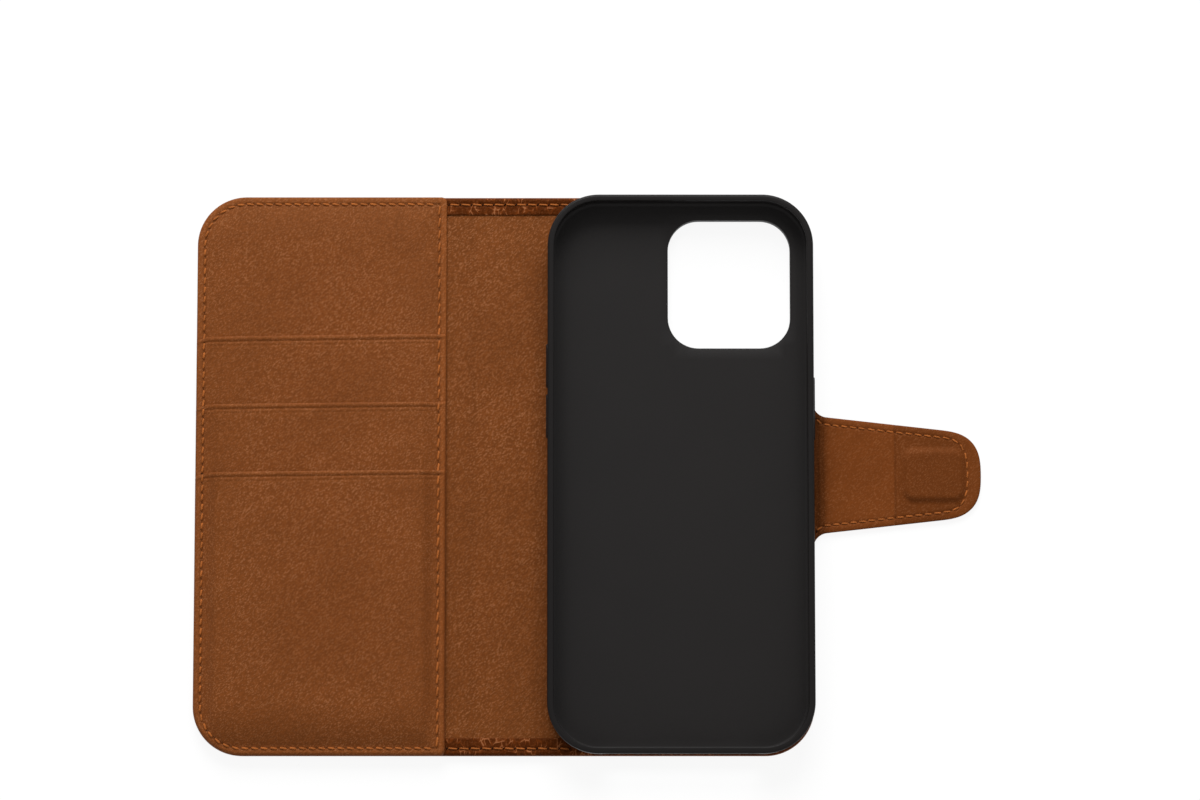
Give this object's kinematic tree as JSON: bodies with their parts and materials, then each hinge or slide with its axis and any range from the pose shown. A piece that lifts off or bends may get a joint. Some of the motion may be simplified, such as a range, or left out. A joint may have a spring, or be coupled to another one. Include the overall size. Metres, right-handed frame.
{
  "type": "phone wallet case",
  "caption": "Leather folio case with slip pockets and a long pocket in its cover, a moulded phone tray on its back panel and a magnetic strap that wraps the closed case.",
  "frame": {"origin": "middle of the open case, on the outer face that it lies on", "axes": "+X from the cover's free edge to the strap's tip, +Y to the top edge, +Z out of the inside"},
  "size_m": [0.2304, 0.1644, 0.0126],
  "materials": {
    "outer_leather": "smooth brown leather with a soft sheen",
    "lining_leather": "thin brown leather",
    "pocket_leather": "thin brown leather with creased mouths",
    "thread": "waxed brown thread",
    "board": "stiffener sheet",
    "bond": "adhesive sheet",
    "tray_plastic": "satin near-black moulded plastic",
    "button_plastic": "satin near-black moulded plastic",
    "keeper_steel": "plain steel",
    "magnet_steel": "plated magnet"
  },
  "bodies": {
    "back_panel": {"back_outer_leather": "outer_leather", "back_board": "board", "back_lining": "lining_leather", "tray_bond": "bond", "tray_shell": "tray_plastic", "back_hem_stitches": "thread", "spine_fold_leather": "outer_leather", "spine_fold_lining": "lining_leather", "strap_fold_leather": "outer_leather", "strap_fold_lining": "lining_leather"},
    "volume_up": {"volume_up_button": "button_plastic"},
    "volume_down": {"volume_down_button": "button_plastic"},
    "side_key": {"side_button": "button_plastic"},
    "spine": {"spine_outer_leather": "outer_leather", "spine_board": "board", "spine_lining": "lining_leather", "spine_hem_stitches": "thread", "cover_fold_leather": "outer_leather", "cover_fold_lining": "lining_leather"},
    "front_cover": {"cover_outer_leather": "outer_leather", "cover_board": "board", "keeper_plate": "keeper_steel", "cover_lining": "lining_leather", "pocket_panel": "pocket_leather", "slip_pocket_upper": "pocket_leather", "slip_pocket_middle": "pocket_leather", "slip_pocket_lower": "pocket_leather", "upper_pocket_gusset": "pocket_leather", "middle_pocket_gusset": "pocket_leather", "lower_pocket_gusset": "pocket_leather", "pocket_seam_stitches": "thread"},
    "strap_side": {"strap_side_leather": "outer_leather", "strap_side_lining": "lining_leather", "strap_side_stitches": "thread", "strap_crease_leather": "outer_leather", "strap_crease_lining": "lining_leather"},
    "strap_tip": {"strap_tip_leather": "outer_leather", "strap_tip_lining": "lining_leather", "clasp_magnet": "magnet_steel", "strap_tip_stitches": "thread"}
  },
  "joints": [
    {"name": "spine_fold", "type": "hinge", "parent": "back_panel", "child": "spine", "pos_m": [-0.01482, 0, 0.0005], "axis": [0, 1, 0], "range_deg": [0, 90], "deforming": ["spine_fold_leather", "spine_fold_lining"]},
    {"name": "cover_fold", "type": "hinge", "parent": "spine", "child": "front_cover", "pos_m": [-0.03442, 0, 0.0005], "axis": [0, 1, 0], "range_deg": [0, 90], "deforming": ["cover_fold_leather", "cover_fold_lining"]},
    {"name": "strap_fold", "type": "hinge", "parent": "back_panel", "child": "strap_side", "pos_m": [0.06788, 0, 0.0005], "axis": [0, -1, 0], "range_deg": [0, 90], "deforming": ["strap_fold_leather", "strap_fold_lining"]},
    {"name": "strap_crease", "type": "hinge", "parent": "strap_side", "child": "strap_tip", "pos_m": [0.09012, 0, 0.0005], "axis": [0, -1, 0], "range_deg": [0, 90], "deforming": ["strap_crease_leather", "strap_crease_lining"]},
    {"name": "volume_up_press", "type": "slide", "parent": "back_panel", "child": "volume_up", "axis": [1, 0, 0], "range_m": [0, 0.00035], "stiffness_N_per_m": 400},
    {"name": "volume_down_press", "type": "slide", "parent": "back_panel", "child": "volume_down", "axis": [1, 0, 0], "range_m": [0, 0.00035], "stiffness_N_per_m": 400},
    {"name": "side_press", "type": "slide", "parent": "back_panel", "child": "side_key", "axis": [-1, 0, 0], "range_m": [0, 0.00035], "stiffness_N_per_m": 400}
  ]
}
